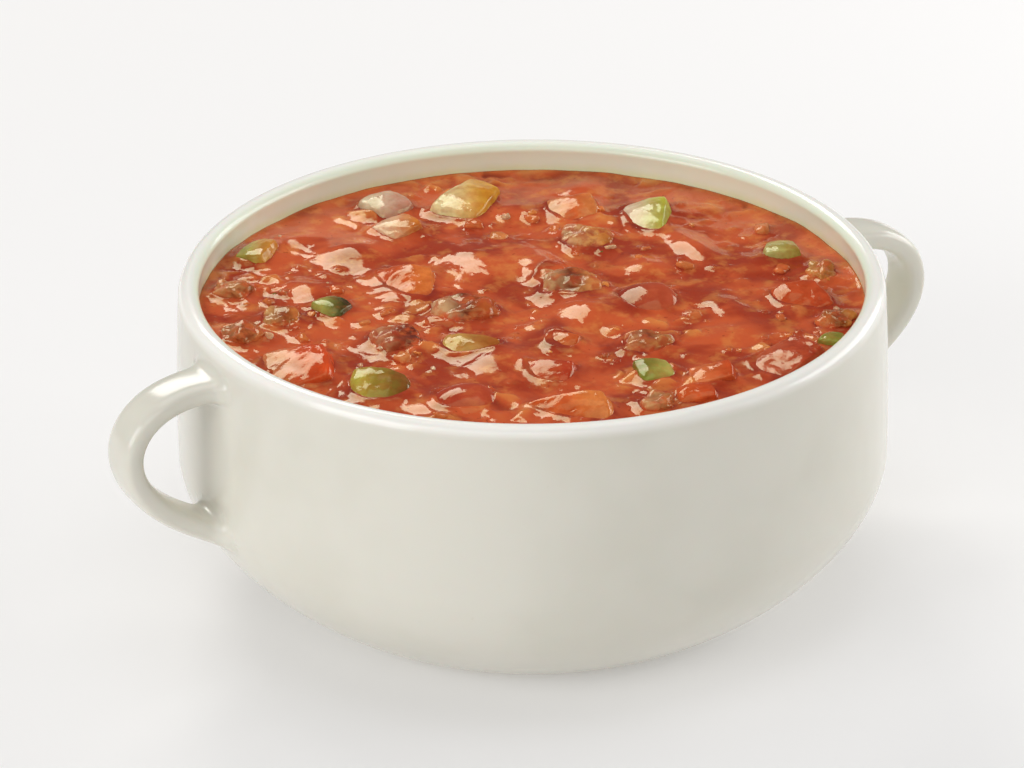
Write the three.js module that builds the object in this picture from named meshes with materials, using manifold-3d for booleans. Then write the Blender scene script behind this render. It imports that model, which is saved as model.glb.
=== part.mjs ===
// A soup bowl with two loop handles, filled with chunky chili.
// Millimetres, +Z up, origin on the floor at the middle of the foot, handles along X.

import * as THREE from 'three';
import { mergeVertices } from 'three/addons/utils/BufferGeometryUtils.js';
import Module from 'manifold-3d';

const wasm = await Module();
wasm.setup();

// Driving sizes of the bowl.
const HEIGHT = 58.6;
const RIM_RADIUS = 62.8;
const RIM_ROUND = 1.8;
const BELLY_RADIUS = 64;
const BELLY_HEIGHT = 26;
const FOOT_RADIUS = 40.8;
const FOOT_RING_INNER = 35.5;
const FOOT_RECESS_RADIUS = 34;
const FOOT_RECESS = 1.8;
const CORNER_OUT_POWER = 1.75;
const CORNER_UP_POWER = 1.15;
const OUTER_CORNER_STEPS = 8;
const INNER_CORNER_STEPS = 5;
const WALL_SHARES = [0.5, 1];
const RIM_TURNS = [36, 72, 108, 144];
const INNER_BELLY_RADIUS = 60.2;
const INNER_BELLY_HEIGHT = 27;
const FLOOR_RADIUS = 35;
const FLOOR_HEIGHT = 5.5;
const BOWL_SEGMENTS = 64;

// Driving sizes of the two handles.
const HANDLE_ROOT_X = 61.2;
const HANDLE_REACH = 18.5;
const HANDLE_MID_HEIGHT = 41;
const HANDLE_RISE = 10.8;
const HANDLE_DROP = 18;
const HANDLE_FULLNESS_HIGH = 0.7;
const HANDLE_FULLNESS_LOW = 1.8;
const STRAP_WIDTH = 9;
const STRAP_THICKNESS = 4.4;
const STRAP_FLARE = 0.25;
const STRAP_FLARE_REACH = 2.5;
const STRAP_POWER = 3;
const STRAP_STATIONS = 18;
const STRAP_SIDES = 12;

// Level of the chili, and the gaps between the broth and the pieces in it.
const LEVEL = 52.5;
const GAP = 0.3;
const POCKET_GAP = 0.35;
const POCKET_SIDES = 8;
const POCKET_HEAD = 4;
const MENISCUS_RISE = 0.6;
const MENISCUS_REACH = 1.6;
const BROTH_SEGMENTS = 64;
const BROTH_RINGS = [7, 14, 21, 28, 34, 40, 46, 51, 55, 57.6];

// Shape of each kind of piece: squareness of its form, size of its bumps, how often they repeat,
// how much narrower its far end is, and how far its top is tipped towards -X in degrees.
const KINDS = {
  pepper: { square: 4.6, bumps: 0.03, repeat: 2.2, taper: 0.28, tip: 8, grid: 3, roughness: 0.3 },
  onion: { square: 3.8, bumps: 0.04, repeat: 2.4, taper: 0.1, tip: 6, grid: 3, roughness: 0.3 },
  tomato: { square: 7, bumps: 0.04, repeat: 2.6, taper: 0.14, tip: 16, grid: 3, roughness: 0.25 },
  bean: { square: 2.3, bumps: 0.02, repeat: 1.4, taper: 0, tip: 10, grid: 4, roughness: 0.25 },
  meat: { square: 2.6, bumps: 0.14, repeat: 4.1, taper: 0.1, tip: 6, grid: 4, roughness: 0.45 },
};

// Every piece: name, kind, middle [x, y], size [length, width, height], rise of its top over
// the level, turn about Z, lean about its own length (degrees), arch of a curved wall, colour.
const PIECES = [
  ['pepper_front', 'pepper', [-39.6, -18.2], [11.5, 10.5, 6], 2.8, -30, 12, 1, 0x9c9430],
  ['pepper_dark', 'pepper', [-32.2, 14.6], [6.6, 6.6, 4.8], 2.3, 15, 8, 0.4, 0x5c6632],
  ['pepper_left_rim', 'pepper', [-33.4, 42.8], [10, 6, 4.6], 2.5, 38, -6, 0.3, 0xc0a848],
  ['pepper_yellow', 'pepper', [10.8, 44.4], [16.5, 10, 5.6], 3, 34, 8, 0.6, 0xd6a53c],
  ['pepper_olive', 'pepper', [-18, -11.2], [12, 6.6, 4.8], 2, -34, 10, 1, 0xb98638],
  ['pepper_front_right', 'pepper', [4.8, -35.6], [7.4, 7.2, 5.2], 2.1, -12, 8, 0.5, 0x8b9438],
  ['pepper_far_right', 'pepper', [38, -40.2], [5, 4.4, 4], 2.1, 40, 5, 0.3, 0x9cab4c],
  ['pepper_right_rim', 'pepper', [50, -3.2], [7, 6.8, 4.8], 2.5, 70, 5, 0.3, 0xb9b55f],
  ['celery_back', 'pepper', [36.2, 21.8], [15, 9.6, 6], 2.8, -118, 10, 0.5, 0xd0c684],
  ['onion_back_left', 'onion', [-3.6, 50.2], [9.6, 9.6, 5.4], 2.6, 10, 6, 0.3, 0xcdb09a],
  ['tomato_front', 'tomato', [-15.6, -42.2], [15.5, 10.5, 6], 2.8, -24, 12, 0.4, 0xd9552f],
  ['tomato_front_mid', 'tomato', [-11.6, -27], [10.5, 8.2, 5.4], 2.1, -40, 6, 0.4, 0xc94a2b],
  ['tomato_left', 'tomato', [-48.4, -5.2], [12.5, 13.5, 7], 3.2, -20, 2, 0.2, 0xdc5a37],
  ['tomato_centre_left', 'tomato', [-16.6, 17.2], [12.5, 14, 6.4], 2.4, -30, 4, 0.8, 0xd65a30],
  ['tomato_front_right', 'tomato', [12.6, -42.4], [8.4, 6.2, 5.2], 2.5, -20, 2, 0.1, 0xd8552f],
  ['tomato_flat', 'tomato', [26, -43], [16, 10.5, 5.6], 2.9, 12, 1, 0, 0xc64a30],
  ['tomato_right', 'tomato', [43, -22.4], [10, 11, 5.8], 2.4, -10, 9, 0.3, 0xcf5030],
  ['tomato_back', 'tomato', [26.4, 31.8], [10, 9.4, 5.6], 2.6, -20, 6, 0.3, 0xdb5f35],
  ['tomato_back_left', 'tomato', [-6.4, 39.4], [8.4, 7.4, 5], 2.5, 10, 4, 0.3, 0xe08a48],
  ['tomato_rim', 'tomato', [6.2, -47.8], [7.4, 5, 4.8], 2.3, -22, 4, 0.3, 0xd8562e],
  ['tomato_small', 'tomato', [-3.6, -17.8], [6.8, 5.6, 4.6], 2, -50, 8, 0.3, 0xd8642f],
  ['bean_centre', 'bean', [17.9, -9.4], [13.2, 12.2, 6.6], 2.6, -24, 8, 0.5, 0x963a2a],
  ['bean_front', 'bean', [-29.4, -28.8], [13.5, 10, 6.4], 2.3, -22, 6, 0.5, 0xa63c2a],
  ['meat_left_outer', 'meat', [-51.4, 12.4], [8, 9, 5], 2.3, 8, 0, 0, 0xa0583a],
  ['meat_left_inner', 'meat', [-42.2, 15.4], [8.4, 9, 5.2], 2.1, -12, 0, 0, 0xb0683e],
  ['meat_left_rim', 'meat', [-44.8, 30], [7.4, 9, 5], 2.2, 30, 0, 0, 0xb07048],
  ['meat_mid_left', 'meat', [-28.6, -3], [11.2, 11.6, 6.2], 2.4, -20, 4, 0, 0x8c3c28],
  ['meat_dark', 'meat', [-12.6, 2.4], [15.8, 12.4, 6.2], 2.4, -26, 4, 0, 0x94502e],
  ['meat_centre', 'meat', [9.2, 3.2], [14.5, 13.5, 6.4], 2.5, -30, 4, 0, 0x9c5230],
  ['meat_back', 'meat', [22, 19.2], [12.4, 11.2, 6], 2.5, -34, 4, 0, 0xc48050],
  ['meat_front_right', 'meat', [9.1, -25.2], [11.4, 10.4, 5.8], 2.1, -24, 4, 0, 0xa85a30],
  ['meat_right', 'meat', [43, -33.4], [8.2, 7.6, 5], 2.3, 42, 0, 0, 0xb06036],
  ['meat_right_rim', 'meat', [51.8, -14.6], [6.6, 8.4, 4.8], 2.2, -14, 0, 0, 0xc08040],
  ['meat_rim_front', 'meat', [-1.6, -47.2], [7.4, 6.4, 4.8], 2.3, -16, 0, 0, 0xb87848],
].map(([name, kind, at, size, rise, turn, lean, arch, color]) => (
  { name, kind, at, size, rise, turn, lean, arch, color }
));

// Swells of the broth over sunken pieces: [x, y, rise, reach along X, reach along Y].
const SWELLS = [
  [-18, 35, 1.6, 6, 6.5],
  [-24.5, 45, 0.8, 4, 3.5],
  [-32.5, 24.5, 1, 3.5, 4.5],
  [0.5, 21.5, 1.5, 6, 8.5],
  [9.5, 13, 1.5, 4, 9],
  [7.5, -8.5, 1.8, 6.5, 6],
  [-2.5, -15, 1, 3.5, 5],
  [25.5, 3.5, 1.1, 4, 4],
  [37.5, 6, 1.4, 3.5, 9],
  [29.5, -18.5, 1, 3.5, 8],
  [44.5, -4.5, 0.8, 3, 4.5],
  [-16, -18, 1.5, 6, 5],
  [17, 37, 1.3, 5, 4.5],
  [32.5, 40.5, 1, 4, 4],
  [24, -29, 0.9, 6, 4],
];

// Each piece starts the waves of its bumps a little further on than the one before.
const BUMP_STEP = 1.7;
const BUMP_STEP_ACROSS = 3.9;
const BUMP_SKEW = 0.6;
const BUMP_SKEW_ACROSS = 0.4;

const WELD_DISTANCE = 1e-5;
const TAU = Math.PI * 2;
const rad = THREE.MathUtils.degToRad;

// Welds a geometry into one closed set of shared points, without empty triangles.
function weld(geometry) {
  const bare = geometry.clone();
  bare.deleteAttribute('normal');
  bare.deleteAttribute('uv');
  const merged = mergeVertices(bare, WELD_DISTANCE);
  const source = merged.index.array;
  const kept = [];
  for (let i = 0; i < source.length; i += 3) {
    const [a, b, c] = [source[i], source[i + 1], source[i + 2]];
    if (a !== b && b !== c && c !== a) kept.push(a, b, c);
  }
  merged.setIndex(kept);
  return merged;
}

function toSolid(geometry) {
  const welded = weld(geometry);
  return new wasm.Manifold(new wasm.Mesh({
    numProp: 3,
    vertProperties: new Float32Array(welded.attributes.position.array),
    triVerts: new Uint32Array(welded.index.array),
  }));
}

function toGeometry(solid) {
  const mesh = solid.getMesh();
  const geometry = new THREE.BufferGeometry();
  geometry.setAttribute('position', new THREE.Float32BufferAttribute(mesh.vertProperties, 3));
  geometry.setIndex(Array.from(mesh.triVerts));
  return geometry;
}

// A corner from the foot out to the wall, listed from low to high.
function cornerPoints(footRadius, footHeight, wallRadius, wallHeight, steps) {
  const points = [];
  for (let i = 1; i <= steps; i += 1) {
    const angle = (Math.PI / 2) * (i / steps);
    points.push(new THREE.Vector2(
      footRadius + (wallRadius - footRadius) * Math.sin(angle) ** CORNER_OUT_POWER,
      wallHeight - (wallHeight - footHeight) * Math.max(Math.cos(angle), 0) ** CORNER_UP_POWER,
    ));
  }
  return points;
}

// Radius of the inner face over its belly.
function innerWallRadius(z) {
  const rimInner = RIM_RADIUS - 2 * RIM_ROUND;
  const t = THREE.MathUtils.clamp((z - INNER_BELLY_HEIGHT) / (HEIGHT - INNER_BELLY_HEIGHT), 0, 1);
  return INNER_BELLY_RADIUS + (rimInner - INNER_BELLY_RADIUS) * t * t;
}

// Radius of the outer face over its belly.
function outerWallRadius(z) {
  const t = (z - BELLY_HEIGHT) / (HEIGHT - BELLY_HEIGHT);
  return BELLY_RADIUS + (RIM_RADIUS - BELLY_RADIUS) * t * t;
}

function bowlBody() {
  const rimStart = HEIGHT - RIM_ROUND;
  const profile = [
    new THREE.Vector2(0, FOOT_RECESS),
    new THREE.Vector2(FOOT_RECESS_RADIUS, FOOT_RECESS),
    new THREE.Vector2(FOOT_RING_INNER, 0),
    new THREE.Vector2(FOOT_RADIUS, 0),
    ...cornerPoints(FOOT_RADIUS, 0, BELLY_RADIUS, BELLY_HEIGHT, OUTER_CORNER_STEPS),
  ];
  for (const share of WALL_SHARES) {
    const z = BELLY_HEIGHT + (rimStart - BELLY_HEIGHT) * share;
    profile.push(new THREE.Vector2(outerWallRadius(z), z));
  }
  for (const turn of RIM_TURNS) {
    profile.push(new THREE.Vector2(
      RIM_RADIUS - RIM_ROUND + RIM_ROUND * Math.cos(rad(turn)),
      rimStart + RIM_ROUND * Math.sin(rad(turn)),
    ));
  }
  for (const share of [...WALL_SHARES].reverse()) {
    const z = INNER_BELLY_HEIGHT + (rimStart - INNER_BELLY_HEIGHT) * share;
    profile.push(new THREE.Vector2(innerWallRadius(z), z));
  }
  const inner = cornerPoints(
    FLOOR_RADIUS, FLOOR_HEIGHT, INNER_BELLY_RADIUS, INNER_BELLY_HEIGHT, INNER_CORNER_STEPS,
  );
  profile.push(...inner.reverse());
  profile.push(new THREE.Vector2(FLOOR_RADIUS, FLOOR_HEIGHT));
  profile.push(new THREE.Vector2(0, FLOOR_HEIGHT));
  const body = new THREE.LatheGeometry(profile, BOWL_SEGMENTS);
  body.rotateX(Math.PI / 2);
  return toSolid(body);
}

// Middle line of a handle in the XZ plane, from its low root to its high root.
class StrapLine extends THREE.Curve {
  getPoint(share, target = new THREE.Vector3()) {
    const angle = -Math.PI / 2 + Math.PI * share;
    const high = angle > 0;
    const fullness = high ? HANDLE_FULLNESS_HIGH : HANDLE_FULLNESS_LOW;
    const halfHeight = high ? HANDLE_RISE : HANDLE_DROP;
    return target.set(
      HANDLE_ROOT_X + HANDLE_REACH * Math.max(Math.cos(angle), 0) ** fullness,
      0,
      HANDLE_MID_HEIGHT + halfHeight * Math.sin(angle),
    );
  }
}

// A rounded strap along that line, which widens into the wall at both roots.
function handleGeometry() {
  const outline = [];
  for (let j = 0; j < STRAP_SIDES; j += 1) {
    const turn = (TAU * j) / STRAP_SIDES;
    const across = Math.sign(Math.cos(turn)) * Math.abs(Math.cos(turn)) ** (2 / STRAP_POWER);
    const through = Math.sign(Math.sin(turn)) * Math.abs(Math.sin(turn)) ** (2 / STRAP_POWER);
    outline.push(new THREE.Vector2((across * STRAP_WIDTH) / 2, (through * STRAP_THICKNESS) / 2));
  }
  const strap = new THREE.ExtrudeGeometry(new THREE.Shape(outline), {
    steps: STRAP_STATIONS,
    extrudePath: new StrapLine(),
  });
  const position = strap.attributes.position;
  for (let i = 0; i < position.count; i += 1) {
    const away = Math.max(position.getX(i) - BELLY_RADIUS, 0);
    position.setY(i, position.getY(i) * (1 + STRAP_FLARE * Math.exp(-away / STRAP_FLARE_REACH)));
  }
  return strap;
}

// Height of the free surface of the broth.
function surfaceHeight(x, y, wallRadius) {
  let height = LEVEL + MENISCUS_RISE * Math.exp((Math.hypot(x, y) - wallRadius) / MENISCUS_REACH);
  for (const [sx, sy, rise, along, across] of SWELLS) {
    const away = Math.hypot((x - sx) / along, (y - sy) / across);
    height += rise * Math.exp(-away * away);
  }
  return height;
}

// The broth fills the bowl up to the level, with a top of rings and swells.
function brothBody() {
  const rimRadius = innerWallRadius(LEVEL) - GAP;
  const lower = cornerPoints(
    FLOOR_RADIUS - GAP, FLOOR_HEIGHT + GAP, INNER_BELLY_RADIUS - GAP, INNER_BELLY_HEIGHT,
    INNER_CORNER_STEPS,
  );
  const profile = [
    new THREE.Vector2(0, FLOOR_HEIGHT + GAP),
    new THREE.Vector2(FLOOR_RADIUS - GAP, FLOOR_HEIGHT + GAP),
    ...lower,
    new THREE.Vector2(rimRadius, LEVEL),
    ...[...BROTH_RINGS].reverse().map((radius) => new THREE.Vector2(radius, LEVEL)),
    new THREE.Vector2(0, LEVEL),
  ];
  const body = new THREE.LatheGeometry(profile, BROTH_SEGMENTS);
  body.rotateX(Math.PI / 2);
  const position = body.attributes.position;
  for (let i = 0; i < position.count; i += 1) {
    if (position.getZ(i) > LEVEL - GAP) {
      position.setZ(i, surfaceHeight(position.getX(i), position.getY(i), rimRadius));
    }
  }
  return toSolid(body);
}

// One piece of food: a rounded block with bumps, standing over the level by its rise.
function pieceBody(piece, order) {
  const kind = KINDS[piece.kind];
  const geometry = new THREE.BoxGeometry(2, 2, 2, kind.grid, kind.grid, kind.grid);
  const position = geometry.attributes.position;
  const half = piece.size.map((side) => side / 2);
  const point = new THREE.Vector3();
  for (let i = 0; i < position.count; i += 1) {
    point.fromBufferAttribute(position, i).normalize();
    const { x, y, z } = point;
    const power = kind.square;
    const reach = (Math.abs(x) ** power + Math.abs(y) ** power + Math.abs(z) ** power) ** (-1 / power);
    const wave = Math.sin(kind.repeat * (x + BUMP_SKEW * z) + BUMP_STEP * order)
      * Math.cos(kind.repeat * (y - BUMP_SKEW_ACROSS * x) + BUMP_STEP_ACROSS * order);
    const swell = 1 - kind.bumps + kind.bumps * wave;
    point.multiplyScalar(reach * swell);
    const bend = piece.arch * point.x * point.x;
    const narrow = 1 - kind.taper * point.x;
    position.setXYZ(i, point.x * half[0], point.y * half[1] * narrow, point.z * half[2] * narrow - bend);
  }
  geometry.rotateX(rad(piece.lean));
  geometry.rotateZ(rad(piece.turn));
  geometry.rotateY(-rad(kind.tip));
  geometry.computeBoundingBox();
  const top = geometry.boundingBox.max.z;
  geometry.translate(piece.at[0], piece.at[1], LEVEL + piece.rise - top);
  geometry.computeBoundingBox();
  return geometry;
}

// The well that a piece lies in: upright flat sides that clear it all round.
function pocketBody(piece, geometry) {
  const position = geometry.attributes.position;
  const [cx, cy] = piece.at;
  const step = TAU / POCKET_SIDES;
  const sides = [];
  for (let k = 0; k < POCKET_SIDES; k += 1) {
    const angle = rad(piece.turn) + k * step;
    let reach = 0;
    for (let i = 0; i < position.count; i += 1) {
      const along = (position.getX(i) - cx) * Math.cos(angle) + (position.getY(i) - cy) * Math.sin(angle);
      reach = Math.max(reach, along);
    }
    sides.push({ angle, reach: reach + POCKET_GAP });
  }
  const corners = sides.map((side, k) => {
    const next = sides[(k + 1) % POCKET_SIDES];
    const x = side.reach * Math.sin(next.angle) - next.reach * Math.sin(side.angle);
    const y = next.reach * Math.cos(side.angle) - side.reach * Math.cos(next.angle);
    return new THREE.Vector2(cx + x / Math.sin(step), cy + y / Math.sin(step));
  });
  const bottom = geometry.boundingBox.min.z - POCKET_GAP;
  const well = new THREE.ExtrudeGeometry(new THREE.Shape(corners), {
    depth: LEVEL + POCKET_HEAD - bottom,
    bevelEnabled: false,
  });
  well.translate(0, 0, bottom);
  return toSolid(well);
}

function part(name, geometry, color, roughness) {
  const material = new THREE.MeshStandardMaterial({ color, roughness, metalness: 0 });
  const mesh = new THREE.Mesh(geometry, material);
  mesh.name = name;
  return mesh;
}

const rightHandle = handleGeometry();
const leftHandle = rightHandle.clone().rotateZ(Math.PI);
const bowl = bowlBody().add(toSolid(rightHandle)).add(toSolid(leftHandle));

let broth = brothBody();
const group = new THREE.Group();
group.add(part('bowl', toGeometry(bowl), 0xe9e7dd, 0.15));

PIECES.forEach((piece, order) => {
  const geometry = pieceBody(piece, order);
  broth = broth.subtract(pocketBody(piece, geometry));
  const { roughness } = KINDS[piece.kind];
  group.add(part(piece.name, weld(geometry), piece.color, roughness));
});

group.add(part('broth', toGeometry(broth), 0xc8552f, 0.2));

export default group;
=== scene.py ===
"""A soup bowl with two loop handles, filled with chunky chili: its looks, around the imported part."""

import math
import random

import bmesh
import bpy
import numpy as np
from mathutils import Matrix, Vector, noise
from mathutils.bvhtree import BVHTree


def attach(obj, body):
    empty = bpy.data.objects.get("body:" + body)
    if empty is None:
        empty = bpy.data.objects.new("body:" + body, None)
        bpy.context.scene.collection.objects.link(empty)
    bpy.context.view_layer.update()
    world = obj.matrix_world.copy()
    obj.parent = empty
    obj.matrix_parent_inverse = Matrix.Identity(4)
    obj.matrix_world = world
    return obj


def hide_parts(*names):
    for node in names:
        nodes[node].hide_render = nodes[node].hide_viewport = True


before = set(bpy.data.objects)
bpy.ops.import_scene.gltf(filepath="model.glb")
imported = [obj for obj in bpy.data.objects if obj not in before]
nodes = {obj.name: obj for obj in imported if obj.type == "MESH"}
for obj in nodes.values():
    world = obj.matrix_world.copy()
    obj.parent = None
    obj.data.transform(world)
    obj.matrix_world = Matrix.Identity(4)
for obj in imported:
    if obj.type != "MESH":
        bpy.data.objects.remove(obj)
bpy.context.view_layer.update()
MM = 0.001

# Driving sizes of the bowl, as in the part's solids.
HEIGHT = 58.6 * MM
RIM_RADIUS = 62.8 * MM
RIM_ROUND = 1.8 * MM
BELLY_RADIUS = 64 * MM
BELLY_HEIGHT = 26 * MM
FOOT_RADIUS = 40.8 * MM
FOOT_RING_INNER = 35.5 * MM
FOOT_RECESS_RADIUS = 34 * MM
FOOT_RECESS = 1.8 * MM
FOOT_ROUND = 0.5 * MM
CORNER_OUT_POWER = 1.75
CORNER_UP_POWER = 1.15
INNER_BELLY_RADIUS = 60.2 * MM
INNER_BELLY_HEIGHT = 27 * MM
FLOOR_RADIUS = 35 * MM
FLOOR_HEIGHT = 5.5 * MM
BOWL_SEGMENTS = 240
CORNER_STEPS = 44
INNER_CORNER_STEPS = 24
WALL_STEPS = 18
RIM_STEPS = 18

# Driving sizes of the two handles.
HANDLE_ROOT_X = 61.2 * MM
HANDLE_REACH = 18.5 * MM
HANDLE_MID_HEIGHT = 41 * MM
HANDLE_RISE = 10.8 * MM
HANDLE_DROP = 18 * MM
HANDLE_FULLNESS_HIGH = 0.7
HANDLE_FULLNESS_LOW = 1.8
STRAP_WIDTH = 9 * MM
STRAP_THICKNESS = 4.4 * MM
STRAP_FLARE = 0.25
STRAP_FLARE_REACH = 2.5 * MM
STRAP_POWER = 3
STRAP_FILLET_HIGH = 2.2 * MM
STRAP_FILLET_LOW = 3.0 * MM
STRAP_STATIONS = 150
STRAP_SIDES = 44
STRAP_SAMPLES = 800

# The chili: its level and the way its surface climbs the wall and the pieces.
LEVEL = 52.5 * MM
SURFACE_SPACING = 0.42 * MM
SAUCE_SHOULDER = 8 * MM
WALL_MENISCUS = 0.6 * MM
WALL_MENISCUS_REACH = 1.6 * MM
PIECE_MENISCUS = 0.75 * MM
PIECE_MENISCUS_REACH = 1.1 * MM
CRUMB_MENISCUS = 0.30 * MM
CRUMB_MENISCUS_REACH = 0.6 * MM
FARTHEST_PIECE = 6 * MM
FARTHEST_CRUMB = 2 * MM

# Small chunks just under the sauce: each has its own rise and leans its own way.
CHUNK_SIZE = 5.4 * MM
CHUNK_RISE = 0.36 * MM
CHUNK_LEAN = 0.20
CHUNK_WARP = 0.3
CHUNK_WARP_DENSITY = 1.7
CHUNK_EDGE = (0.03, 0.32)
CHUNK_CALM = 0.6 * MM
CHUNK_CALM_SHARE = 0.8
CHUNK_GROUP = 15 * MM
CHUNK_LEAST = 0.20
CHUNK_WALL_GAP = 2 * MM

# Painted shade on the sauce: how dark it is painted beside a piece, beside a crumb and between chunks, and
# how far each reaches.
PIECE_SHADE = 0.7
PIECE_SHADE_REACH = 1.2 * MM
CRUMB_SHADE = 0.4
CRUMB_SHADE_REACH = 0.5 * MM
CHUNK_SHADE = 0.7
SHADE_PATCH = 4 * MM

# Waves of the whole surface: width and height in mm, and a shift that makes each its own.
WAVES = [
    (10, 0.28, (0, 0, 0)),
    (4.2, 0.10, (7, 3, 1)),
    (1.7, 0.02, (1, 9, 4)),
]

# Swells of the sauce over sunken pieces: x, y, rise, reach along X and reach along Y, in mm.
SWELLS = [
    (-18, 35, 1.6, 6, 6.5),
    (-24.5, 45, 0.8, 4, 3.5),
    (-32.5, 24.5, 1, 3.5, 4.5),
    (0.5, 21.5, 1.5, 6, 8.5),
    (9.5, 13, 1.5, 4, 9),
    (7.5, -8.5, 1.8, 6.5, 6),
    (-2.5, -15, 1, 3.5, 5),
    (25.5, 3.5, 1.1, 4, 4),
    (37.5, 6, 1.4, 3.5, 9),
    (29.5, -18.5, 1, 3.5, 8),
    (44.5, -4.5, 0.8, 3, 4.5),
    (-16, -18, 1.5, 6, 5),
    (17, 37, 1.3, 5, 4.5),
    (32.5, 40.5, 1, 4, 4),
    (24, -29, 0.9, 6, 4),
]

# The camera sees the bowl with these two level directions to its right and straight away from it.
SIDEWAYS = Vector((0.8788, -0.4772, 0))
AWAY = Vector((0.4772, 0.8788, 0))


# Small helpers.
def linear(code):
    """A colour written as six hex digits, as linear values with alpha."""
    values = []
    for i in (0, 2, 4):
        share = int(code[i:i + 2], 16) / 255
        values.append(((share + 0.055) / 1.055) ** 2.4 if share > 0.04045 else share / 12.92)
    return (*values, 1.0)


def smoothstep(low, high, value):
    share = min(max((value - low) / (high - low), 0), 1)
    return share * share * (3 - 2 * share)


def blend(first, second, share):
    return tuple(a + (b - a) * share for a, b in zip(first, second))


def mesh_object(name, points, faces):
    mesh = bpy.data.meshes.new(name)
    mesh.from_pydata([tuple(p) for p in points], [], faces)
    mesh.polygons.foreach_set("use_smooth", [True] * len(mesh.polygons))
    mesh.update()
    piece = bpy.data.objects.new(name, mesh)
    bpy.context.scene.collection.objects.link(piece)
    return piece


def dress(piece, material, slot_name, *replaced):
    """Gives a piece its material and its body, and hides the nodes that it stands for; slot_name is not
    used.
    """
    piece.data.materials.clear()
    piece.data.materials.append(material)
    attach(piece, "root")
    if replaced:
        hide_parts(*replaced)
    return piece


# Shape of the bowl's wall, as in the part's solid.
def corner_points(foot_radius, foot_height, wall_radius, wall_height, steps):
    points = []
    for i in range(1, steps + 1):
        angle = math.pi / 2 * i / steps
        points.append((
            foot_radius + (wall_radius - foot_radius) * math.sin(angle) ** CORNER_OUT_POWER,
            wall_height - (wall_height - foot_height) * max(math.cos(angle), 0) ** CORNER_UP_POWER,
        ))
    return points


def inner_wall_radius(z):
    share = min(max((z - INNER_BELLY_HEIGHT) / (HEIGHT - INNER_BELLY_HEIGHT), 0), 1)
    return INNER_BELLY_RADIUS + (RIM_RADIUS - 2 * RIM_ROUND - INNER_BELLY_RADIUS) * share ** 2


def outer_wall_radius(z):
    if z < BELLY_HEIGHT:
        turn = math.acos(((BELLY_HEIGHT - z) / BELLY_HEIGHT) ** (1 / CORNER_UP_POWER))
        return FOOT_RADIUS + (BELLY_RADIUS - FOOT_RADIUS) * math.sin(turn) ** CORNER_OUT_POWER
    share = (z - BELLY_HEIGHT) / (HEIGHT - BELLY_HEIGHT)
    return BELLY_RADIUS + (RIM_RADIUS - BELLY_RADIUS) * share ** 2


def wall_normal(x, y, z):
    step = 0.1 * MM
    slope = (outer_wall_radius(z + step) - outer_wall_radius(z - step)) / (2 * step)
    return Vector((x, y, -slope * math.hypot(x, y))).normalized()


# Material helpers: each material is a small tree of nodes.
class Shader:
    """A node material that is built one node at a time."""

    def __init__(self, name):
        self.material = bpy.data.materials.new(name)
        self.material.use_nodes = True
        self.tree = self.material.node_tree
        self.tree.nodes.clear()
        self.place = self.add("ShaderNodeTexCoord").outputs["Object"]

    def feed(self, socket, value):
        """Links a socket to an output of another node, or gives it a plain value."""
        if isinstance(value, bpy.types.NodeSocket):
            self.tree.links.new(value, socket)
        else:
            socket.default_value = value

    def add(self, kind, settings=None, **inputs):
        node = self.tree.nodes.new(kind)
        for key, value in (settings or {}).items():
            setattr(node, key, value)
        for key, value in inputs.items():
            self.feed(node.inputs[key.replace("_", " ")], value)
        return node

    def noise(self, size, detail=2.0, roughness=0.5, distortion=0.0):
        """A noise whose lumps are about size metres wide, from 0 to 1."""
        node = self.add("ShaderNodeTexNoise", Vector=self.place, Scale=1 / size, Detail=detail,
                        Roughness=roughness, Distortion=distortion)
        return node.outputs["Fac"]

    def remap(self, value, low, high, to_low=0.0, to_high=1.0):
        """Turns low..high into to_low..to_high, softly and without going past either."""
        node = self.add("ShaderNodeMapRange", {"interpolation_type": "SMOOTHSTEP"}, Value=value,
                        From_Min=low, From_Max=high, To_Min=to_low, To_Max=to_high)
        return node.outputs["Result"]

    def maths(self, operation, first, second):
        node = self.add("ShaderNodeMath", {"operation": operation})
        for socket, value in zip(node.inputs, (first, second)):
            self.feed(socket, value)
        return node.outputs["Value"]

    def mix(self, share, first, second, method="MIX"):
        """Mixes two colours; the node's colour sockets are its inputs 6 and 7 and its output 2."""
        node = self.add("ShaderNodeMix", {"data_type": "RGBA", "blend_type": method})
        for index, value in ((0, share), (6, first), (7, second)):
            self.feed(node.inputs[index], value)
        return node.outputs[2]

    def bump(self, height, distance, below=None):
        """A relief of the surface, distance metres high, on top of the one below if there is one."""
        node = self.add("ShaderNodeBump", Height=height, Distance=distance)
        if below is not None:
            self.tree.links.new(below, node.inputs["Normal"])
        return node.outputs["Normal"]

    def finish(self, **inputs):
        shader = self.add("ShaderNodeBsdfPrincipled", **inputs)
        self.add("ShaderNodeOutputMaterial", Surface=shader.outputs["BSDF"])
        return self.material


# Colours of the sauce, with the dark red of its painted shade, and the tints of the highlights on the sauce
# and on the food.
SAUCE = linear("cf5c34")
SAUCE_DEEP = linear("a83c24")
SAUCE_PAINTED_SHADE = linear("8a2c22")
SAUCE_ORANGE = linear("e8984f")
SAUCE_GLINT = (0.66, 0.94, 0.27, 1)
FOOD_GLINT = (0.76, 0.94, 0.40, 1)


def radius_of(s):
    """Distance from the upright middle line of the bowl."""
    parts = s.add("ShaderNodeSeparateXYZ", Vector=s.place).outputs
    flat = s.add("ShaderNodeCombineXYZ", X=parts["X"], Y=parts["Y"]).outputs["Vector"]
    return s.add("ShaderNodeVectorMath", {"operation": "LENGTH"}, Vector=flat).outputs["Value"]


def height_of(s):
    return s.add("ShaderNodeSeparateXYZ", Vector=s.place).outputs["Z"]


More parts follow.
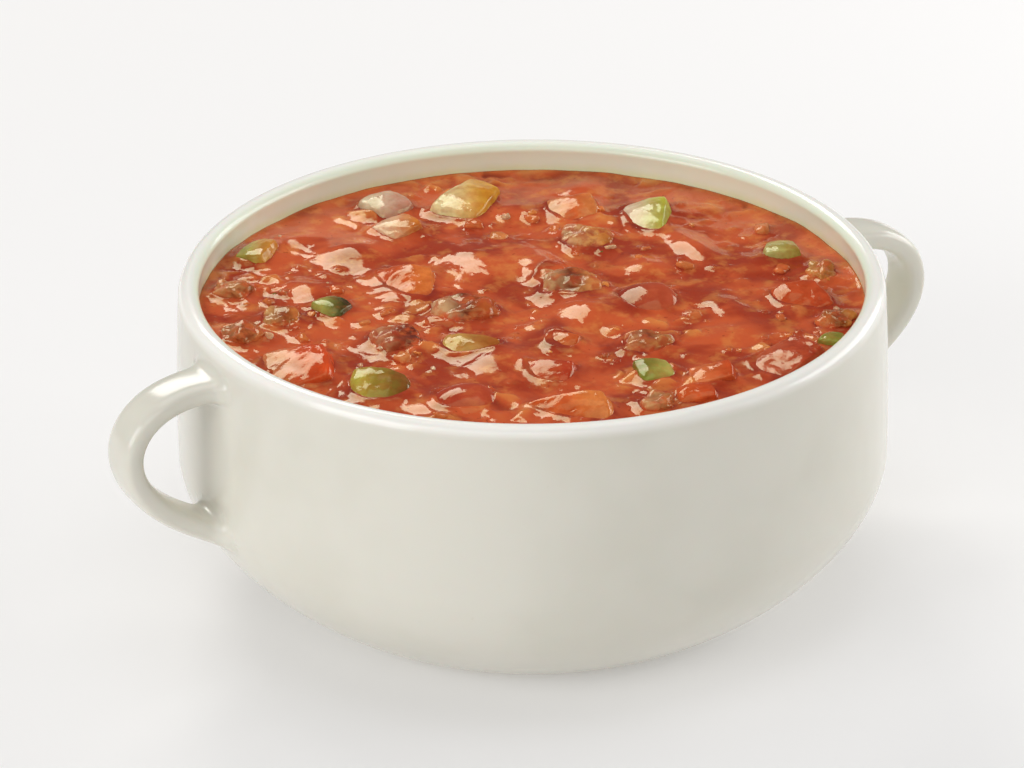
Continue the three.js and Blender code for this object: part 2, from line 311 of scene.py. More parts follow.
def glaze_material():
    """White tableware glaze: even, slightly warm, with faint waves and a warm tide line inside that is
    partly painted shade; the rim's top and the inside above the sauce are painted paler, as painted light.
    """
    s = Shader("glazed_white")
    cloud = s.remap(s.noise(30 * MM, 3), 0.35, 0.65)
    foot = s.remap(height_of(s), 0.3 * MM, 0.9 * MM)
    cream = s.mix(cloud, linear("dbd8cb"), linear("e1ded2"))
    colour = s.mix(foot, linear("d9d2c0"), cream)
    specks = s.remap(s.noise(1.1 * MM, 1), 0.78, 0.84, 0.0, 0.16)
    colour = s.mix(specks, colour, linear("c9c2ad"))
    inside = s.maths("MULTIPLY", s.remap(height_of(s), LEVEL - 3 * MM, LEVEL - 2 * MM),
                     s.remap(radius_of(s), RIM_RADIUS - 2 * RIM_ROUND, RIM_RADIUS - RIM_ROUND, 1.0, 0.0))
    # A yellow band just over the sauce line: partly a tide stain, partly painted shade and a tint that
    # offsets the red light bounced from the sauce.
    tide = s.maths("ADD", height_of(s), s.maths("MULTIPLY", s.noise(6 * MM, 3, 0.6), 1.6 * MM))
    tide_stain_and_shade = s.remap(tide, LEVEL + 0.8 * MM, LEVEL + 3.4 * MM, 0.55, 0.0)
    # Painted light: the rim's top and the outer wall just below it are painted paler.
    rim = s.remap(height_of(s), HEIGHT - 2.6 * MM, HEIGHT - 0.6 * MM)
    # Painted light: inside, above the sauce, the glaze is painted paler and greener to offset the red light
    # bounced from the sauce.
    pale = s.mix(inside, s.mix(rim, colour, linear("f7f5ee")), linear("eefae3"))
    colour = s.mix(s.maths("MULTIPLY", inside, tide_stain_and_shade), pale, linear("e3ee98"))
    waves = s.bump(s.noise(18 * MM, 2), 0.10 * MM)
    orange_peel = s.bump(s.noise(2.2 * MM, 1), 0.006 * MM, below=waves)
    rough = s.remap(foot, 0.0, 1.0, 0.75, 0.17)
    return s.finish(Base_Color=colour, Roughness=rough, Normal=orange_peel, IOR=1.5,
                    Subsurface_Weight=0.08, Subsurface_Scale=2 * MM)


def sauce_colour(s):
    """Deep red with orange clouds of oil and pulp, and dark flecks of spice."""
    clouds = s.remap(s.noise(11 * MM, 3, 0.5, 0.5), 0.36, 0.60)
    pulp = s.remap(s.noise(4 * MM, 3, 0.6), 0.48, 0.70)
    colour = s.mix(clouds, SAUCE_DEEP, SAUCE)
    colour = s.mix(s.maths("MULTIPLY", pulp, 0.38), colour, SAUCE_ORANGE)
    flecks = s.remap(s.noise(0.9 * MM, 1), 0.70, 0.76)
    return s.mix(s.maths("MULTIPLY", flecks, 0.45), colour, linear("8c2c18"))


def sauce_material():
    """Thick tomato sauce, wet all over, with an orange edge of oil against the bowl and painted shade
    around its pieces.
    """
    s = Shader("chili_sauce")
    edge = s.maths("SUBTRACT", radius_of(s), s.maths("MULTIPLY", s.noise(5 * MM, 2), 1.6 * MM))
    wall = inner_wall_radius(LEVEL)
    oil = s.remap(edge, wall - 2.2 * MM, wall - 0.6 * MM, 0.0, 0.4)
    colour = s.mix(oil, sauce_colour(s), linear("d07a40"))
    # The depth attribute carries painted shade: darker red beside pieces, beside crumbs and in low places
    # between chunks.
    depth = s.add("ShaderNodeAttribute", {"attribute_name": "depth"}).outputs["Fac"]
    colour = s.mix(s.remap(depth, 0.0, 1.0, 0.0, 0.95), colour, SAUCE_PAINTED_SHADE)
    # Lighter orange on the chunks' tops: partly a thinner film over them, partly painted light.
    colour = s.mix(s.remap(depth, -0.9, 0.0, 0.45, 0.0), colour, SAUCE_ORANGE)
    skin = s.bump(s.noise(3.2 * MM, 2, 0.5), 0.08 * MM)
    grain = s.bump(s.noise(1 * MM, 2), 0.014 * MM, below=skin)
    rough = s.remap(s.noise(4 * MM, 2), 0.3, 0.7, 0.05, 0.11)
    return s.finish(Base_Color=colour, Roughness=rough, Normal=grain, IOR=1.37, Specular_Tint=SAUCE_GLINT,
                    Subsurface_Weight=0.10, Subsurface_Radius=(1.0, 0.3, 0.12), Subsurface_Scale=1.2 * MM)


def food_material(name, film, spots, shade=(0.76, 0.64, 0.56), lump=1.6, relief=0.08, roughness=0.08,
                  soft=0.2):
    """Wet food: each piece's tone, which for the big pieces holds painted light and shade, mottled, under a
    film of sauce that thickens downwards.

    The film goes from full to none between two heights over the level, in mm, and lies in spots above them.
    """
    s = Shader(name)
    # The tone attribute holds the pieces' painted light and shade along with their colours.
    tone_and_painted_light = s.add("ShaderNodeAttribute", {"attribute_name": "tone"}).outputs["Color"]
    mottle = s.remap(s.noise(3 * MM, 3, 0.6), 0.30, 0.70)
    colour = s.mix(mottle, s.mix(1.0, tone_and_painted_light, (*shade, 1), "MULTIPLY"), tone_and_painted_light)
    low, high = film
    ragged = s.maths("ADD", height_of(s), s.maths("MULTIPLY", s.noise(2.8 * MM, 3, 0.6), 1.0 * MM))
    thick = s.remap(ragged, LEVEL + (low + 0.5) * MM, LEVEL + (high + 0.5) * MM, 1.0, 0.0)
    patches = s.remap(s.noise(2.2 * MM, 3, 0.6), 0.42, 0.62, 0.0, spots)
    cover = s.maths("MINIMUM", s.maths("ADD", thick, patches), 1.0)
    colour = s.mix(cover, colour, sauce_colour(s))
    skin = s.bump(s.noise(lump * MM, 3, 0.6), relief * MM)
    grain = s.bump(s.noise(0.7 * MM, 2), 0.012 * MM, below=skin)
    return s.finish(Base_Color=colour, Roughness=roughness, Normal=grain, IOR=1.38,
                    Specular_Tint=FOOD_GLINT, Subsurface_Weight=soft, Subsurface_Radius=(1.0, 0.4, 0.2),
                    Subsurface_Scale=0.8 * MM)


MATERIALS = {
    "white_glaze": glaze_material(),
    "broth": sauce_material(),
    "tomato": food_material("tomato_flesh", (0.0, 0.9), 0.3, relief=0.07, soft=0.1),
    "bean": food_material("bean_skin", (0.0, 0.8), 0.25, (0.85, 0.74, 0.68), relief=0.02,
                          roughness=0.06, soft=0.05),
    "meat": food_material("minced_meat", (0.2, 1.3), 0.7, (0.82, 0.70, 0.62), lump=1.4, relief=0.07,
                          roughness=0.11, soft=0.05),
    "green_pepper": food_material("pepper_green", (-0.2, 0.6), 0.22, relief=0.04, soft=0.2),
    "yellow_pepper": food_material("pepper_yellow", (-0.2, 0.6), 0.2, relief=0.04, soft=0.25),
    "celery": food_material("celery_stalk", (-0.2, 0.6), 0.12, relief=0.05, soft=0.25),
    "onion": food_material("onion_flesh", (-0.2, 0.7), 0.2, relief=0.04, soft=0.35),
}


# The bowl: a lathe of the same profile as the solid's, with finer steps.
def bowl_profile():
    rim_start = HEIGHT - RIM_ROUND
    points = [(0, FOOT_RECESS), (FOOT_RECESS_RADIUS * 0.5, FOOT_RECESS), (FOOT_RECESS_RADIUS, FOOT_RECESS)]
    points += [(FOOT_RING_INNER, FOOT_ROUND * 0.4), (FOOT_RING_INNER + FOOT_ROUND, 0), (FOOT_RADIUS, 0)]
    points += corner_points(FOOT_RADIUS, 0, BELLY_RADIUS, BELLY_HEIGHT, CORNER_STEPS)
    for i in range(1, WALL_STEPS + 1):
        z = BELLY_HEIGHT + (rim_start - BELLY_HEIGHT) * i / WALL_STEPS
        points.append((outer_wall_radius(z), z))
    for i in range(1, RIM_STEPS):
        turn = math.pi * i / RIM_STEPS
        points.append((
            RIM_RADIUS - RIM_ROUND + RIM_ROUND * math.cos(turn),
            rim_start + RIM_ROUND * math.sin(turn),
        ))
    for i in range(WALL_STEPS, 0, -1):
        z = INNER_BELLY_HEIGHT + (rim_start - INNER_BELLY_HEIGHT) * i / WALL_STEPS
        points.append((inner_wall_radius(z), z))
    points += corner_points(
        FLOOR_RADIUS, FLOOR_HEIGHT, INNER_BELLY_RADIUS, INNER_BELLY_HEIGHT, INNER_CORNER_STEPS
    )[::-1]
    points += [(FLOOR_RADIUS, FLOOR_HEIGHT), (FLOOR_RADIUS * 0.5, FLOOR_HEIGHT), (0, FLOOR_HEIGHT)]
    return points


def lathe(profile, segments):
    """A closed body of revolution whose profile starts and ends on the axis."""
    inner = profile[1:-1]
    points = []
    for radius, z in inner:
        for k in range(segments):
            turn = 2 * math.pi * k / segments
            points.append((radius * math.cos(turn), radius * math.sin(turn), z))
    first, last = len(points), len(points) + 1
    points += [(0, 0, profile[0][1]), (0, 0, profile[-1][1])]
    faces = []
    for row in range(len(inner) - 1):
        for k in range(segments):
            a, b = row * segments + k, row * segments + (k + 1) % segments
            faces.append((a, b, b + segments, a + segments))
    top = (len(inner) - 1) * segments
    for k in range(segments):
        faces.append((first, (k + 1) % segments, k))
        faces.append((last, top + k, top + (k + 1) % segments))
    return points, faces


def strap_point(share):
    angle = math.pi * (share - 0.5)
    fullness = HANDLE_FULLNESS_HIGH if angle > 0 else HANDLE_FULLNESS_LOW
    half_height = HANDLE_RISE if angle > 0 else HANDLE_DROP
    x = HANDLE_ROOT_X + HANDLE_REACH * max(math.cos(angle), 0) ** fullness
    return x, HANDLE_MID_HEIGHT + half_height * math.sin(angle)


def strap_stations():
    """Points along the middle line, closer together at both roots."""
    line = np.array([strap_point(i / STRAP_SAMPLES) for i in range(STRAP_SAMPLES + 1)])
    steps = np.r_[0, np.cumsum(np.hypot(*np.diff(line, axis=0).T))]
    wanted = steps[-1] * (0.5 - 0.5 * np.cos(np.pi * np.linspace(0, 1, STRAP_STATIONS)))
    return np.c_[np.interp(wanted, steps, line[:, 0]), np.interp(wanted, steps, line[:, 1])]


def fillet_at_wall(place, middle):
    """Widens the strap's root: a point near the wall moves along it and keeps its distance from it."""
    normal = wall_normal(*place)
    clear = math.hypot(place.x, place.y) - outer_wall_radius(place.z)
    high = smoothstep(HANDLE_MID_HEIGHT - HANDLE_DROP, HANDLE_MID_HEIGHT + HANDLE_RISE, place.z)
    fillet = STRAP_FILLET_LOW + (STRAP_FILLET_HIGH - STRAP_FILLET_LOW) * high
    depth = min(max(clear, 0), fillet)
    push = fillet - math.sqrt(fillet ** 2 - (fillet - depth) ** 2)
    sideways = place - middle
    sideways -= normal * sideways.dot(normal)
    moved = place + sideways.normalized() * push
    hold = (outer_wall_radius(moved.z) + clear) / math.hypot(moved.x, moved.y)
    return Vector((moved.x * hold, moved.y * hold, moved.z))


def handle_mesh(side):
    """A rounded strap that flares into the wall; side is 1 for the right handle and -1 for the left."""
    centres = strap_stations()
    tangents = np.gradient(centres, axis=0)
    tangents /= np.linalg.norm(tangents, axis=1)[:, None]
    points, faces = [], []
    for (x, z), (tx, tz) in zip(centres, tangents):
        away = max(x - BELLY_RADIUS, 0)
        widen = 1 + STRAP_FLARE * math.exp(-away / STRAP_FLARE_REACH)
        middle = Vector((x, 0, z))
        for j in range(STRAP_SIDES):
            turn = 2 * math.pi * j / STRAP_SIDES
            across = math.copysign(abs(math.cos(turn)) ** (2 / STRAP_POWER), math.cos(turn))
            through = math.copysign(abs(math.sin(turn)) ** (2 / STRAP_POWER), math.sin(turn))
            out = through * STRAP_THICKNESS / 2
            place = Vector((x + tz * out, across * STRAP_WIDTH / 2 * widen, z - tx * out))
            place = fillet_at_wall(place, middle)
            points.append((side * place.x, side * place.y, place.z))
    for row in range(STRAP_STATIONS - 1):
        for j in range(STRAP_SIDES):
            a, b = row * STRAP_SIDES + j, row * STRAP_SIDES + (j + 1) % STRAP_SIDES
            faces.append((a, b, b + STRAP_SIDES, a + STRAP_SIDES))
    faces.append(tuple(range(STRAP_SIDES))[::-1])
    last = (STRAP_STATIONS - 1) * STRAP_SIDES
    faces.append(tuple(last + j for j in range(STRAP_SIDES)))
    return points, faces


def outward(piece):
    """Turns every face of a closed mesh outwards."""
    shape = bmesh.new()
    shape.from_mesh(piece.data)
    bmesh.ops.recalc_face_normals(shape, faces=shape.faces)
    shape.to_mesh(piece.data)
    shape.free()


def make_bowl():
    body = mesh_object("bowl_glazed", *lathe(bowl_profile(), BOWL_SEGMENTS))
    outward(body)
    for side in (1, -1):
        handle = mesh_object("handle", *handle_mesh(side))
        outward(handle)
        join = body.modifiers.new("join", "BOOLEAN")
        join.operation = "UNION"
        join.solver = "EXACT"
        join.object = handle
        bpy.context.view_layer.update()
        joined = bpy.data.meshes.new_from_object(body.evaluated_get(bpy.context.evaluated_depsgraph_get()))
        body.modifiers.clear()
        body.data = joined
        bpy.data.objects.remove(handle)
    body.data.polygons.foreach_set("use_smooth", [True] * len(body.data.polygons))
    dress(body, MATERIALS["white_glaze"], "white_glaze", "bowl")


# The pieces of food: each starts from its solid, gets finer, softer and then its own relief.
def fine_copy(name, cuts, rounding):
    """The node's shape with smaller faces and its edges rounded."""
    shape = bmesh.new()
    shape.from_mesh(nodes[name].data)
    bmesh.ops.remove_doubles(shape, verts=shape.verts, dist=0.01 * MM)
    bmesh.ops.subdivide_edges(shape, edges=shape.edges, cuts=cuts, use_grid_fill=True)
    for _ in range(rounding):
        bmesh.ops.smooth_vert(shape, verts=shape.verts, factor=0.5, use_axis_x=True, use_axis_y=True,
                              use_axis_z=True)
    shape.normal_update()
    return shape


def knobs(place, size, seed):
    """Rounded crumbs with creases between them, from -1 in a crease to about 1 on a crumb."""
    (first, second, *_), _ = noise.voronoi((place / size) + Vector((seed, seed * 0.7, -seed)))
    return min((second - first) * 2.2, 1.2) * 2 - 1


def relief_of_meat(place, seed):
    shifted = place + Vector((seed, seed, 0)) * MM
    return (
        0.20 * knobs(place, 4.6 * MM, seed)
        + 0.26 * noise.noise(shifted / (3.0 * MM))
        + 0.12 * noise.noise(shifted / (1.5 * MM))
        + 0.03 * noise.noise(shifted / (0.8 * MM))
    )


def relief_of_tomato(place, seed):
    shifted = place + Vector((seed, 0, seed)) * MM
    ridges = 1 - abs(noise.noise(shifted / (2.6 * MM))) * 2
    return 0.30 * noise.noise(shifted / (4.4 * MM)) + 0.10 * ridges + 0.04 * noise.noise(shifted / MM)


def relief_of_bean(place, seed):
    return 0.12 * noise.noise((place + Vector((seed, 0, 0)) * MM) / (4 * MM))


def relief_of_pepper(place, seed):
    shifted = place + Vector((0, seed, seed)) * MM
    return 0.22 * noise.noise(shifted / (3.6 * MM)) + 0.05 * noise.noise(shifted / (1.1 * MM))


# For each kind: its relief in mm, its cuts, its rounding, and how dark its hollows are painted, as painted
# shade.
KINDS = {
    "tomato": (relief_of_tomato, 7, 4, 0.25),
    "bean": (relief_of_bean, 6, 12, 0.0),
    "meat": (relief_of_meat, 7, 4, 0.5),
    "pepper": (relief_of_pepper, 7, 5, 0.15),
    "celery": (relief_of_pepper, 7, 7, 0.15),
    "onion": (relief_of_pepper, 7, 8, 0.1),
}
YELLOW_PEPPERS = ("pepper_yellow", "pepper_left_rim")
# Colour of the painted shade in the pieces' hollows.
HOLLOW_PAINTED_SHADE = linear("742a18")
TONE_WAVER = 0.3

# The tones of each piece from its left end to its right end, partly its own colours and partly painted
# light: many are paler on the left, where the main lamp's highlights fall, and darker on the right, in
# shade.
TONES_WITH_PAINTED_LIGHT = {
    "pepper_front": ("bfb04a", "7c5c24"),
    "pepper_dark": ("b0b45c", "383216"),
    "pepper_left_rim": ("b0b052", "d9963c"),
    "pepper_yellow": ("ecd8a0", "e0a02a"),
    "pepper_olive": ("d0a85a", "b0682a"),
    "pepper_front_right": ("7f8430", "b9b45c"),
    "pepper_far_right": ("9ca44a", "8c9a40"),
    "pepper_right_rim": ("c2be74", "b8a850"),
    "celery_back": ("e8cdb0", "c0c444"),
    "onion_back_left": ("d8c4a4", "d0a08a"),
    "tomato_front": ("d9602e", "e06a34", "ec8c48"),
    "tomato_front_mid": ("cc5430", "c0442a"),
    "tomato_left": ("e08a5c", "dc5c34", "e05428"),
    "tomato_centre_left": ("d25a32", "d8602e", "ea8440"),
    "tomato_front_right": ("e07a48", "d25428"),
    "tomato_flat": ("cc6844", "b8452c"),
    "tomato_right": ("d2582e", "c9502a"),
    "tomato_back": ("e2905c", "dc6632", "e48a4c"),
    "tomato_back_left": ("e9c9a8", "dd8436"),
    "tomato_rim": ("d9602f", "cf5028"),
    "tomato_small": ("dd7a40", "d0602e"),
    "bean_centre": ("a03a28", "c4583a"),
    "bean_front": ("b0402c", "c25236"),
    "meat_left_outer": ("c88a5c", "9c4c2c", "b46a3c"),
    "meat_left_inner": ("dca468", "a85a30", "d08040"),
    "meat_left_rim": ("d89c64", "b06438"),
    "meat_mid_left": ("d09068", "a04a2e", "6c2a20"),
    "meat_dark": ("e0b080", "7a3422", "c0602e"),
    "meat_centre": ("dcac78", "7c3820", "d4864a"),
    "meat_back": ("e6b888", "d89a5c", "dc8e44"),
    "meat_front_right": ("d89864", "984c2a", "dc9a58"),
    "meat_right": ("c0703c", "8c4424", "cc8440"),
    "meat_right_rim": ("d89c58", "c07838"),
    "meat_rim_front": ("dca470", "b87446"),
}


def paint(piece, tones):
    """Stores a tone for each point, which the food's material reads."""
    layer = piece.data.color_attributes.new("tone", "FLOAT_COLOR", "POINT")
    layer.data.foreach_set("color", [channel for tone in tones for channel in tone])


def tone_between(stops, share):
    """The tone at a share of the way through evenly spaced stops."""
    place = min(max(share, 0), 0.999) * (len(stops) - 1)
    return blend(stops[int(place)], stops[int(place) + 1], place % 1)


def make_piece(name, seed):
    kind = name.split("_")[0]
    relief, cuts, rounding, hollow_shade_share = KINDS[kind]
    shape = fine_copy(name, cuts, rounding)
    heights = [relief(v.co, seed) for v in shape.verts]
    moved = [v.co + v.normal * h * MM for v, h in zip(shape.verts, heights)]
    # Painted light and shade: the tone runs along the camera's left-to-right direction.
    across = [SIDEWAYS.dot(place) for place in moved]
    first, last = min(across), max(across)
    stops = [linear(code) for code in TONES_WITH_PAINTED_LIGHT[name]]
    tones = []
    for vert, place, high, side in zip(shape.verts, moved, heights, across):
        vert.co = place
        share = smoothstep(0.12, 0.88, (side - first) / (last - first)) + TONE_WAVER * high
        # Painted shade: the hollows of the relief are darkened.
        hollow_painted_shade = hollow_shade_share * smoothstep(0.1, -0.35, high)
        tones.append(blend(tone_between(stops, share), HOLLOW_PAINTED_SHADE, hollow_painted_shade))
    piece = mesh_object(name + "_dressed", [], [])
    shape.to_mesh(piece.data)
    shape.free()
    piece.data.polygons.foreach_set("use_smooth", [True] * len(piece.data.polygons))
    paint(piece, tones)
    slot_name = kind
    if kind == "pepper":
        slot_name = "yellow_pepper" if name in YELLOW_PEPPERS else "green_pepper"
    return dress(piece, MATERIALS[slot_name], slot_name, name)


# The sauce: a fine disc of triangles that swells over what is sunken and climbs what stands out.
def tree_of(pieces):
    """A search tree over the faces of all the pieces."""
    corners, triangles = [], []
    for piece in pieces:
        start = len(corners)
        corners += [v.co.copy() for v in piece.data.vertices]
        triangles += [[start + i for i in p.vertices] for p in piece.data.polygons]
    return BVHTree.FromPolygons(corners, triangles)


def distance_to(tree, x, y, most):
    """Distance from the surface at x, y to the nearest face of the tree, or most if that is farther."""
    found = tree.find_nearest(Vector((x, y, LEVEL + 0.3 * MM)), most)
    return most if found[0] is None else found[3]


def swell_height(x, y):
    """Rise of all the swells at x, y."""
    total = 0.0
    for swell_x, swell_y, rise, along, across in SWELLS:
        away = math.hypot((x / MM - swell_x) / along, (y / MM - swell_y) / across)
        total += rise * MM * math.exp(-away * away)
    return total


def chunk_height(x, y):
    """Rise of the small chunks under the sauce, which is calmer on the swells."""
    place = Vector((x, y, 0)) / CHUNK_SIZE
    denser = place * CHUNK_WARP_DENSITY
    place += Vector((noise.noise(denser), noise.noise(denser + Vector((5, 5, 5))), 0)) * CHUNK_WARP
    (near, following, *_), (home, *_) = noise.voronoi(place)
    lean = noise.cell_vector(home * 31)
    top = smoothstep(*CHUNK_EDGE, following - near)
    away = (place - home) * CHUNK_SIZE
    rise = CHUNK_RISE * (lean.z + 0.25) + CHUNK_LEAN * (lean.x * away.x + lean.y * away.y)
    crowd = smoothstep(0.0, 0.35, noise.noise(Vector((x, y, 0)) / CHUNK_GROUP + Vector((2, 8, 5))))
    share = CHUNK_LEAST + (1 - CHUNK_LEAST) * crowd
    calm = CHUNK_CALM_SHARE * smoothstep(0, CHUNK_CALM, swell_height(x, y))
    return top * rise * share * (1 - calm)


def surface_height(x, y, near):
    """Height of the sauce at x, y, where near is the distance to the nearest piece."""
    wall = inner_wall_radius(LEVEL)
    height = LEVEL + WALL_MENISCUS * math.exp((math.hypot(x, y) - wall) / WALL_MENISCUS_REACH)
    height += swell_height(x, y)
    height += chunk_height(x, y) * smoothstep(0, CHUNK_WALL_GAP, wall - math.hypot(x, y))
    for width, rise, shift in WAVES:
        height += rise * MM * noise.noise(Vector((x, y, 0)) / (width * MM) + Vector(shift))
    height += PIECE_MENISCUS * math.exp(-near / PIECE_MENISCUS_REACH)
    return height


# Crumbs and flecks that float in the sauce, one piece for each kind, in mm.
BITS = {
    # name: material, tones, count at random, their least and greatest size, x, y and size of placed ones
    "coated_bits": ("tomato", ("d8602f", "e08a50"), 24, (2.0, 4.0), []),
    "orange_bits": ("tomato", ("ec9a4c", "dc7034"), 34, (0.6, 1.6), [
        (-42.3, 6.7, 3.4), (-41, 13.4, 2.6), (-36.8, 14.3, 2.4), (20.6, -34.1, 1.8), (21.8, -35.3, 1.6),
        (14.5, -0.8, 2.2), (25.9, 6.8, 2.2), (30.3, 29, 2), (23.9, 31.4, 1.8), (18.5, 33.8, 2),
        (50.8, -17.7, 1.6), (32.5, -34.5, 1.8), (-42.3, 30.5, 2), (7.2, -17.9, 1.6), (-17.7, -38.4, 1.8),
    ]),
    "pale_bits": ("onion", ("ecd0ae", "dcb088"), 26, (0.5, 1.4), [
        (-47.6, 9.7, 2.2), (13.4, 34.8, 2.4), (23.7, 13.7, 2), (-26.8, 2.2, 1.8), (-32.3, -4.7, 1.6),
        (-32, -0.2, 1.8), (45.3, -30.1, 1.8), (49.8, -14.7, 1.6), (-38.5, -8.5, 1.6),
    ]),
    "meat_bits": ("meat", ("c07c4c", "a05c34"), 34, (0.8, 2.2), []),
    "green_bits": ("green_pepper", ("8c9440", "6c7030"), 14, (0.5, 1.1), []),
}
BITS_SEED = 29
BITS_REACH = 55 * MM
BITS_CLEAR = 0.7 * MM
BITS_HIGHEST_SWELL = 0.35 * MM
DICE_POWER = 4


def crumb(size, draw):
    """A lumpy flattened dice with rounded edges: its points and triangles."""
    shape = bmesh.new()
    bmesh.ops.create_icosphere(shape, subdivisions=3, radius=0.5)
    turn = Matrix.Rotation(draw.uniform(0, 2 * math.pi), 3, "Z")
    lean = Matrix.Rotation(draw.uniform(-0.4, 0.4), 3, "X")
    stretch = Vector((draw.uniform(0.9, 1.3), draw.uniform(0.65, 0.95), draw.uniform(0.5, 0.8)))
    seed = Vector([draw.uniform(0, 90) for _ in range(3)])
    points = []
    for vert in shape.verts:
        square = 0.5 / sum(abs(c) ** DICE_POWER for c in vert.co) ** (1 / DICE_POWER)
        lump = 0.85 + 0.3 * noise.noise(vert.co * 2.2 + seed) + 0.08 * noise.noise(vert.co * 6 + seed)
        points.append(turn @ lean @ (vert.co * square * lump * stretch) * size)
    faces = [[v.index for v in face.verts] for face in shape.faces]
    shape.free()
    return points, faces


def make_bits(name, around, draw):
    material, codes, count, (least, greatest), spots = BITS[name]
    spots = list(spots)
    while count:
        turn, reach = draw.uniform(0, 2 * math.pi), BITS_REACH * math.sqrt(draw.random())
        x, y = reach * math.cos(turn), reach * math.sin(turn)
        size = draw.uniform(least, greatest)
        room = distance_to(around, x, y, 4 * MM) - 0.4 * size * MM
        if room > BITS_CLEAR and swell_height(x, y) < BITS_HIGHEST_SWELL:
            spots.append((x / MM, y / MM, size))
            count -= 1
    points, faces, tones = [], [], []
    for x, y, size in spots:
        x, y = x * MM, y * MM
        height = surface_height(x, y, distance_to(around, x, y, FARTHEST_PIECE))
        local, triangles = crumb(size * MM, draw)
        lift = Vector((x, y, height - 0.02 * size * MM))
        faces += [[len(points) + i for i in triangle] for triangle in triangles]
        points += [point + lift for point in local]
        tones += [blend(linear(codes[0]), linear(codes[1]), draw.random())] * len(local)
    piece = mesh_object(name, points, faces)
    paint(piece, tones)
    return dress(piece, MATERIALS[material], material)


def disc(radius, spacing):
    """Points and triangles of an even disc: ring k has 6 k points."""
    rings = round(radius / spacing)
    points = [(0.0, 0.0)]
    for ring in range(1, rings + 1):
        for k in range(6 * ring):
            turn = 2 * math.pi * k / (6 * ring)
            points.append((radius * ring / rings * math.cos(turn), radius * ring / rings * math.sin(turn)))
    faces = []
    for ring in range(1, rings + 1):
        inner_start = 1 + 3 * (ring - 1) * (ring - 2)
        outer_start = 1 + 3 * ring * (ring - 1)
        inner_count, outer_count = 6 * (ring - 1), 6 * ring
        for sextant in range(6):
            for j in range(ring):
                outer = outer_start + sextant * ring + j
                next_outer = outer_start + (sextant * ring + j + 1) % outer_count
                if ring == 1:
                    faces.append((0, outer, next_outer))
                    continue
                inner = inner_start + (sextant * (ring - 1) + j) % inner_count
                faces.append((outer, next_outer, inner))
                if j < ring - 1:
                    next_inner = inner_start + (sextant * (ring - 1) + j + 1) % inner_count
                    faces.append((inner, next_outer, next_inner))
    return points, faces, 6 * rings


def make_sauce(around, bits):
    """The sauce as a closed body that fills the bowl from its floor to the level."""
    crumbs = tree_of(bits)
    flat, faces, edge_count = disc(inner_wall_radius(LEVEL) + 0.05 * MM, SURFACE_SPACING)
    points, film_and_painted_shading = [], []
    for x, y in flat:
        near = distance_to(around, x, y, FARTHEST_PIECE)
        beside = distance_to(crumbs, x, y, FARTHEST_CRUMB)
        height = surface_height(x, y, near)
        points.append((x, y, height + CRUMB_MENISCUS * math.exp(-beside / CRUMB_MENISCUS_REACH)))
        # Painted shade: the sauce is darkened beside pieces and crumbs, in patches; between chunks it is
        # darker in low places and lighter on tops, partly painted light and partly a thinner film.
        painted_shade = PIECE_SHADE * math.exp(-near / PIECE_SHADE_REACH)
        painted_shade += CRUMB_SHADE * math.exp(-beside / CRUMB_SHADE_REACH)
        painted_shade *= smoothstep(-0.5, 0.3, noise.noise(Vector((x, y, 0)) / SHADE_PATCH))
        film_and_painted_shading.append(painted_shade - chunk_height(x, y) / CHUNK_RISE * CHUNK_SHADE)
    edge = len(points) - edge_count
    lower = [
        (inner_wall_radius(LEVEL - SAUCE_SHOULDER) - 0.2 * MM, LEVEL - SAUCE_SHOULDER),
        (INNER_BELLY_RADIUS - 0.3 * MM, INNER_BELLY_HEIGHT),
        (FLOOR_RADIUS, FLOOR_HEIGHT + 0.3 * MM),
    ]
    above = edge
    for ring_radius, z in lower:
        start = len(points)
        for k in range(edge_count):
            turn = 2 * math.pi * k / edge_count
            points.append((ring_radius * math.cos(turn), ring_radius * math.sin(turn), z))
        for k in range(edge_count):
            after = (k + 1) % edge_count
            faces.append((above + after, above + k, start + k, start + after))
        above = start
    faces.append(tuple(above + k for k in range(edge_count))[::-1])
    sauce = mesh_object("chili_sauce", points, faces)
    # The depth attribute stores this painted light and shade for the sauce's material.
    layer = sauce.data.attributes.new("depth", "FLOAT", "POINT")
    layer.data.foreach_set("value", film_and_painted_shading + [0.0] * (len(points) - len(film_and_painted_shading)))
    dress(sauce, MATERIALS["broth"], "broth", "broth")


# The camera aims a little to the left of the bowl's middle and above it, and is rolled slightly.
CAMERA_PLACE = Vector((-347.6, -640.2, 389.0)) * MM
CAMERA_LENS = 158
AIM_LEFT = 3.7 * MM
AIM_UP = 6.6 * MM
CAMERA_ROLL = math.radians(0.42)

# The stage is a pale floor, 12 m wide, under soft lights.
FLOOR_HALF = 6.0
WHITE = (1.0, 1.0, 1.0)
WARM = (1.0, 0.98, 0.94)
LIGHTS = {
    # name: direction (sideways, away, up) as the camera sees the bowl, distance, size, power and colour
    "main_softbox": ((-0.30, 0.70, 0.65), 1.0, (0.46, 0.40), 3.8, WARM),
    "front_high": ((-0.15, -0.80, 0.50), 1.2, (1.0, 0.8), 3.4, WHITE),
    "overhead": ((0.0, 0.0, 1.0), 1.2, (1.0, 1.0), 4.6, WHITE),
    "left_low": ((-0.80, -0.60, 0.35), 0.8, (0.5, 0.4), 2.4, WHITE),
    "right_low": ((0.90, 0.42, 0.25), 0.6, (0.60, 0.28), 2.0, WHITE),
    "right_front": ((0.95, -0.15, 0.30), 1.0, (0.5, 0.5), 0.8, WHITE),
}


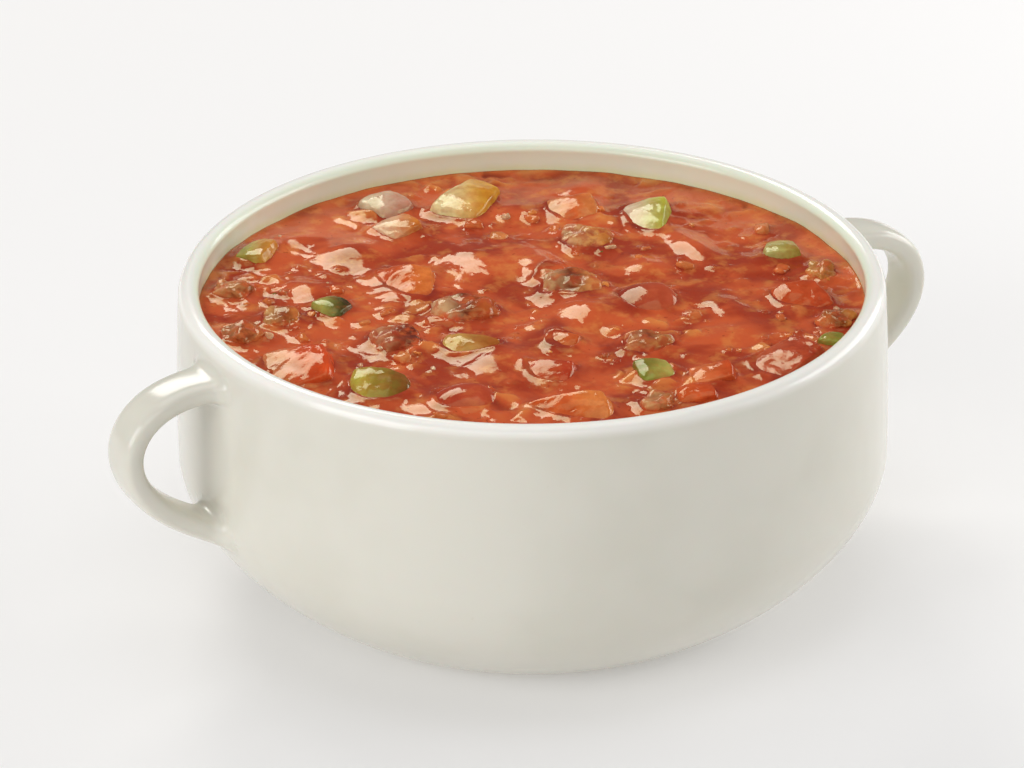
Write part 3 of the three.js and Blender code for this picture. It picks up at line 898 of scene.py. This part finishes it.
def make_camera():
    data = bpy.data.cameras.new("camera")
    data.lens = CAMERA_LENS
    data.clip_start = 0.05
    data.clip_end = 60
    camera = bpy.data.objects.new("camera", data)
    bpy.context.scene.collection.objects.link(camera)
    middle = Vector((0, 0, HEIGHT / 2))
    forward = (middle - CAMERA_PLACE).normalized()
    upward = SIDEWAYS.cross(forward).normalized()
    target = middle - SIDEWAYS * AIM_LEFT + upward * AIM_UP
    turn = (target - CAMERA_PLACE).to_track_quat("-Z", "Y").to_matrix()
    turn = turn @ Matrix.Rotation(-CAMERA_ROLL, 3, "Z")
    camera.matrix_world = Matrix.Translation(CAMERA_PLACE) @ turn.to_4x4()
    bpy.context.scene.camera = camera


def soft_light(name, direction, distance, size, power, colour):
    """A large soft light that faces the bowl."""
    data = bpy.data.lights.new(name, "AREA")
    data.shape = "RECTANGLE"
    data.size, data.size_y = size
    data.energy = power
    data.color = colour
    light = bpy.data.objects.new(name, data)
    bpy.context.scene.collection.objects.link(light)
    side, far, up = direction
    towards = (SIDEWAYS * side + AWAY * far + Vector((0, 0, up))).normalized()
    light.location = Vector((0, 0, HEIGHT)) + towards * distance
    light.rotation_euler = towards.to_track_quat("Z", "Y").to_euler()


def make_floor():
    corners = [(x * FLOOR_HALF, y * FLOOR_HALF, 0) for x, y in ((-1, -1), (1, -1), (1, 1), (-1, 1))]
    floor = mesh_object("floor", corners, [(0, 1, 2, 3)])
    s = Shader("pale_floor")
    tone = s.mix(s.noise(0.5, 2), linear("d3d2d2"), linear("d5d4d4"))
    floor.data.materials.append(s.finish(Base_Color=tone, Roughness=0.9, Specular_IOR_Level=0.1,
                                         Emission_Color=(1.0, 0.995, 0.985, 1), Emission_Strength=0.25))


def make_world():
    world = bpy.data.worlds.new("studio")
    world.use_nodes = True
    backdrop = world.node_tree.nodes["Background"]
    backdrop.inputs["Color"].default_value = (1.0, 0.99, 0.975, 1)
    backdrop.inputs["Strength"].default_value = 0.12
    bpy.context.scene.world = world


def make_stage():
    make_floor()
    make_world()
    make_camera()
    for name, settings in LIGHTS.items():
        soft_light(name, *settings)
    bpy.context.scene.view_settings.view_transform = "Standard"


make_bowl()
food = [name for name in sorted(nodes) if name not in ("bowl", "broth")]
dressed = [make_piece(name, seed) for seed, name in enumerate(food)]
around = tree_of(dressed)
draw = random.Random(BITS_SEED)
bits = [make_bits(name, around, draw) for name in BITS]
make_sauce(around, bits)
make_stage()
